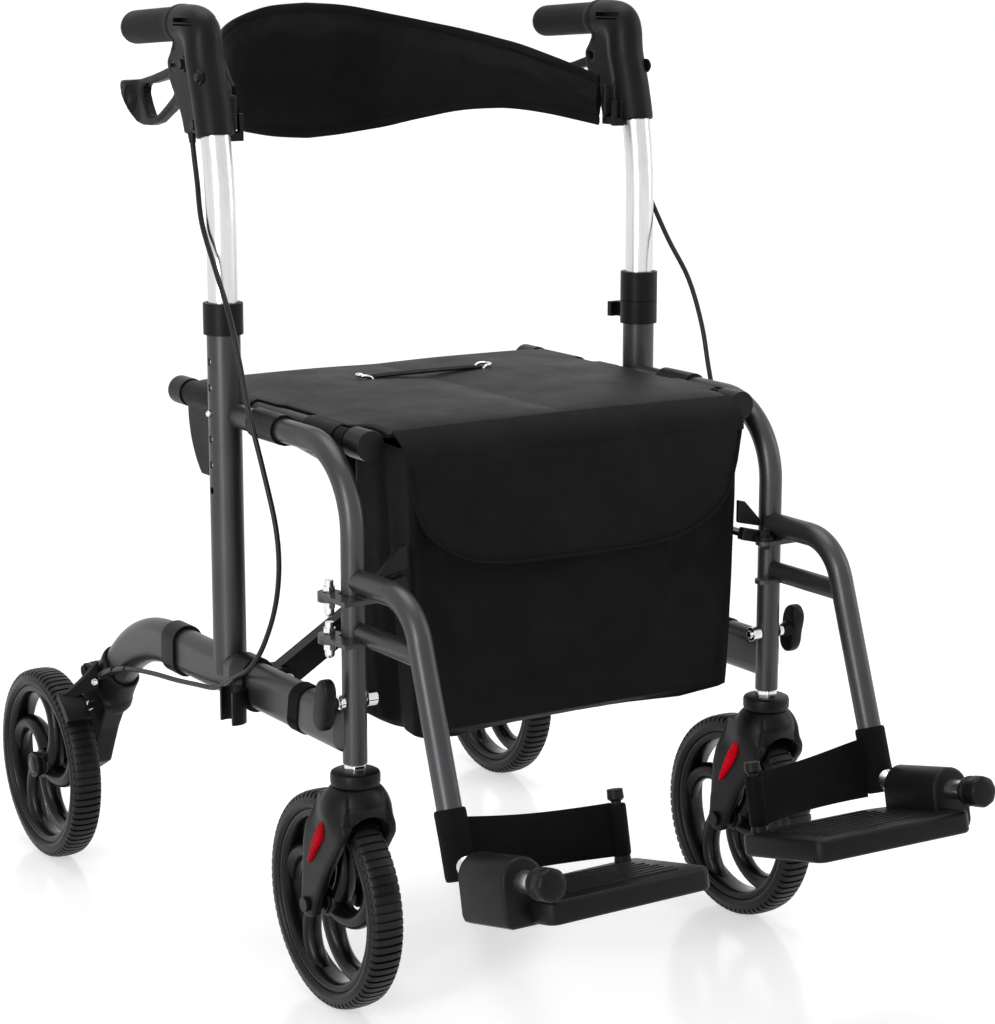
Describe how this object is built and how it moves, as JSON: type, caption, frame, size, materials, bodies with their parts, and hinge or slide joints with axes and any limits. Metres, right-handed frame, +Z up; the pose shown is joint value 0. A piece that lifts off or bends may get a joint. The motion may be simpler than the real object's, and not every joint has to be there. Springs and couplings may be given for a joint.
{
  "type": "rollator transport chair",
  "caption": "Folding rollator transport chair with a hinged seat, bag, bowed backrest, height adjustable brake handles, caster wheels and swing-away footrests.",
  "frame": {"origin": "on the floor under the middle of the whole chair's box", "axes": "+Z up, -Y to the front with the footrests, +X to the sitter's left"},
  "size_m": [0.6046, 0.9984, 0.901],
  "materials": {
    "frame_paint": "satin graphite paint",
    "brace_paint": "satin black paint",
    "black_plastic": "moulded",
    "rim_plastic": "moulded",
    "chrome": "plated",
    "silver_tube": "bright anodised",
    "tyre": "ribbed",
    "grip_rubber": "soft touch",
    "cable_sheath": "sheath",
    "webbing": "woven webbing",
    "seat_vinyl": "grained vinyl",
    "bag_fabric": "woven nylon",
    "back_fabric": "padded nylon"
  },
  "bodies": {
    "right_frame": {"lower_tube_right": "frame_paint", "upright_right": "frame_paint", "front_tube_right": "frame_paint", "collar_right": "black_plastic", "seat_saddles_right": "black_plastic", "tube_clamps_right": "black_plastic", "rear_bracket_right": "black_plastic", "frame_bolts_right": "chrome", "brake_cable_right": "cable_sheath"},
    "right_handle": {"handle_tube_right": "silver_tube", "handle_grip_right": "grip_rubber", "backrest": "back_fabric"},
    "right_lever": {"brake_lever_right": "black_plastic"},
    "right_brake": {"brake_arm_right": "black_plastic"},
    "right_caster": {"caster_fork_right": "black_plastic", "caster_stem_right": "chrome"},
    "right_front_wheel": {"front_tyre_right": "tyre", "front_rim_right": "rim_plastic"},
    "right_rear_wheel": {"rear_tyre_right": "tyre", "rear_rim_right": "rim_plastic"},
    "right_footrest": {"footrest_tube_right": "frame_paint", "foot_tube_right": "silver_tube", "heel_strap_right": "webbing"},
    "right_plate": {"foot_plate_right": "black_plastic"},
    "right_release": {"release_lever_right": "chrome"},
    "right_knob": {"wing_knob_right": "black_plastic"},
    "right_button": {"height_button_right": "chrome"},
    "left_frame": {"lower_tube_left": "frame_paint", "upright_left": "frame_paint", "front_tube_left": "frame_paint", "collar_left": "black_plastic", "seat_saddles_left": "black_plastic", "tube_clamps_left": "black_plastic", "rear_bracket_left": "black_plastic", "frame_bolts_left": "chrome", "brake_cable_left": "cable_sheath", "fold_clip": "black_plastic"},
    "left_handle": {"handle_tube_left": "silver_tube", "handle_grip_left": "grip_rubber"},
    "left_lever": {"brake_lever_left": "black_plastic"},
    "left_brake": {"brake_arm_left": "black_plastic"},
    "left_caster": {"caster_fork_left": "black_plastic", "caster_stem_left": "chrome"},
    "left_front_wheel": {"front_tyre_left": "tyre", "front_rim_left": "rim_plastic"},
    "left_rear_wheel": {"rear_tyre_left": "tyre", "rear_rim_left": "rim_plastic"},
    "left_footrest": {"footrest_tube_left": "frame_paint", "foot_tube_left": "silver_tube", "heel_strap_left": "webbing"},
    "left_plate": {"foot_plate_left": "black_plastic"},
    "left_release": {"release_lever_left": "chrome"},
    "left_knob": {"wing_knob_left": "black_plastic"},
    "left_button": {"height_button_left": "chrome"},
    "brace_a": {"brace_bar_a": "brace_paint", "brace_pivot": "chrome"},
    "brace_b": {"brace_bar_b": "brace_paint"},
    "seat_left": {"seat_half_left": "seat_vinyl"},
    "seat_right": {"seat_half_right": "seat_vinyl"},
    "bag": {"bag": "bag_fabric"}
  },
  "joints": [
    {"name": "fold", "type": "hinge", "parent": "right_frame", "child": "brace_a", "pos_m": [-0.208, 0.01865, 0.273], "axis": [0, -1, 0], "range_deg": [0, 40], "deforming": ["bag", "backrest", "heel_strap_right", "heel_strap_left"]},
    {"name": "brace_cross", "type": "hinge", "parent": "brace_a", "child": "brace_b", "pos_m": [0, 0.01865, 0.39891], "axis": [0, -1, 0], "range_deg": [-80, 0]},
    {"name": "left_side_fold", "type": "hinge", "parent": "brace_b", "child": "left_frame", "pos_m": [0.208, 0.01865, 0.273], "axis": [0, -1, 0], "range_deg": [0, 40]},
    {"name": "seat_left_fold", "type": "hinge", "parent": "brace_a", "child": "seat_left", "pos_m": [0.205, 0.01865, 0.523], "axis": [0, -1, 0], "range_deg": [-108, 0]},
    {"name": "seat_right_fold", "type": "hinge", "parent": "brace_b", "child": "seat_right", "pos_m": [-0.205, 0.01865, 0.523], "axis": [0, -1, 0], "range_deg": [0, 108]},
    {"name": "bag_hang", "type": "hinge", "parent": "brace_a", "child": "bag", "pos_m": [0.205, -0.13835, 0.523], "axis": [0, -1, 0], "range_deg": [-40, 0]},
    {"name": "handle_height_right", "type": "slide", "parent": "right_frame", "child": "right_handle", "axis": [0, 0, 1], "range_m": [-0.0735, 0.049], "deforming": ["brake_cable_right", "height_button_right"]},
    {"name": "lever_right", "type": "hinge", "parent": "right_handle", "child": "right_lever", "pos_m": [-0.238, 0.13003, 0.846], "axis": [1, 0, 0], "range_deg": [0, 10], "stiffness_Nm_per_rad": 0.6},
    {"name": "brake_right", "type": "hinge", "parent": "right_frame", "child": "right_brake", "pos_m": [-0.262, 0.3439, 0.21179], "axis": [1, 0, 0], "range_deg": [0, 2.2]},
    {"name": "caster_swivel_right", "type": "hinge", "parent": "right_frame", "child": "right_caster", "pos_m": [-0.232, -0.17835, 0.23], "axis": [0, 0, 1], "continuous": true},
    {"name": "front_wheel_right", "type": "hinge", "parent": "right_caster", "child": "right_front_wheel", "pos_m": [-0.232, -0.13885, 0.1016], "axis": [1, 0, 0], "continuous": true},
    {"name": "rear_wheel_right", "type": "hinge", "parent": "right_frame", "child": "right_rear_wheel", "pos_m": [-0.282, 0.39765, 0.1016], "axis": [1, 0, 0], "continuous": true},
    {"name": "footrest_swing_right", "type": "hinge", "parent": "right_frame", "child": "right_footrest", "pos_m": [-0.247, -0.16135, 0.373], "axis": [0, 0, -1], "range_deg": [0, 100]},
    {"name": "foot_flip_right", "type": "hinge", "parent": "right_footrest", "child": "right_plate", "pos_m": [-0.23, -0.35465, 0.1886], "axis": [0, -0.9763, 0.2164], "range_deg": [0, 85], "deforming": ["heel_strap_right"]},
    {"name": "release_right", "type": "hinge", "parent": "right_footrest", "child": "right_release", "pos_m": [-0.21, -0.19905, 0.398], "axis": [0, 0, -1], "range_deg": [0, 12], "stiffness_Nm_per_rad": 0.2},
    {"name": "knob_right", "type": "hinge", "parent": "right_frame", "child": "right_knob", "pos_m": [-0.262, -0.17835, 0.2985], "axis": [1, 0, 0], "continuous": true},
    {"name": "button_right", "type": "slide", "parent": "right_handle", "child": "right_button", "axis": [1, 0, 0], "range_m": [0, 0.0035], "stiffness_N_per_m": 600},
    {"name": "handle_height_left", "type": "slide", "parent": "left_frame", "child": "left_handle", "axis": [0, 0, 1], "range_m": [-0.0735, 0.049], "deforming": ["brake_cable_left", "height_button_left", "backrest"]},
    {"name": "lever_left", "type": "hinge", "parent": "left_handle", "child": "left_lever", "pos_m": [0.238, 0.13003, 0.846], "axis": [1, 0, 0], "range_deg": [0, 10], "stiffness_Nm_per_rad": 0.6},
    {"name": "brake_left", "type": "hinge", "parent": "left_frame", "child": "left_brake", "pos_m": [0.262, 0.3439, 0.21179], "axis": [1, 0, 0], "range_deg": [0, 2.2]},
    {"name": "caster_swivel_left", "type": "hinge", "parent": "left_frame", "child": "left_caster", "pos_m": [0.232, -0.17835, 0.23], "axis": [0, 0, 1], "continuous": true},
    {"name": "front_wheel_left", "type": "hinge", "parent": "left_caster", "child": "left_front_wheel", "pos_m": [0.232, -0.13885, 0.1016], "axis": [1, 0, 0], "continuous": true},
    {"name": "rear_wheel_left", "type": "hinge", "parent": "left_frame", "child": "left_rear_wheel", "pos_m": [0.282, 0.39765, 0.1016], "axis": [1, 0, 0], "continuous": true},
    {"name": "footrest_swing_left", "type": "hinge", "parent": "left_frame", "child": "left_footrest", "pos_m": [0.247, -0.16135, 0.373], "axis": [0, 0, 1], "range_deg": [0, 100]},
    {"name": "foot_flip_left", "type": "hinge", "parent": "left_footrest", "child": "left_plate", "pos_m": [0.23, -0.35465, 0.1886], "axis": [0, 0.9763, -0.2164], "range_deg": [0, 85], "deforming": ["heel_strap_left"]},
    {"name": "release_left", "type": "hinge", "parent": "left_footrest", "child": "left_release", "pos_m": [0.21, -0.19905, 0.398], "axis": [0, 0, 1], "range_deg": [0, 12], "stiffness_Nm_per_rad": 0.2},
    {"name": "knob_left", "type": "hinge", "parent": "left_frame", "child": "left_knob", "pos_m": [0.262, -0.17835, 0.2985], "axis": [1, 0, 0], "continuous": true},
    {"name": "button_left", "type": "slide", "parent": "left_handle", "child": "left_button", "axis": [-1, 0, 0], "range_m": [0, 0.0035], "stiffness_N_per_m": 600}
  ],
  "couplings": [
    {"joint": "brace_cross", "follows": "fold", "ratio": -2},
    {"joint": "left_side_fold", "follows": "fold", "ratio": 1},
    {"joint": "seat_left_fold", "follows": "fold", "ratio": -2.7},
    {"joint": "seat_right_fold", "follows": "fold", "ratio": 2.7},
    {"joint": "bag_hang", "follows": "fold", "ratio": -1},
    {"joint": "brake_right", "follows": "lever_right", "ratio": 0.22},
    {"joint": "foot_flip_right", "follows": "fold", "ratio": 2.125},
    {"joint": "brake_left", "follows": "lever_left", "ratio": 0.22},
    {"joint": "foot_flip_left", "follows": "fold", "ratio": 2.125},
    {"joint": "handle_height_left", "follows": "handle_height_right", "ratio": 1}
  ]
}
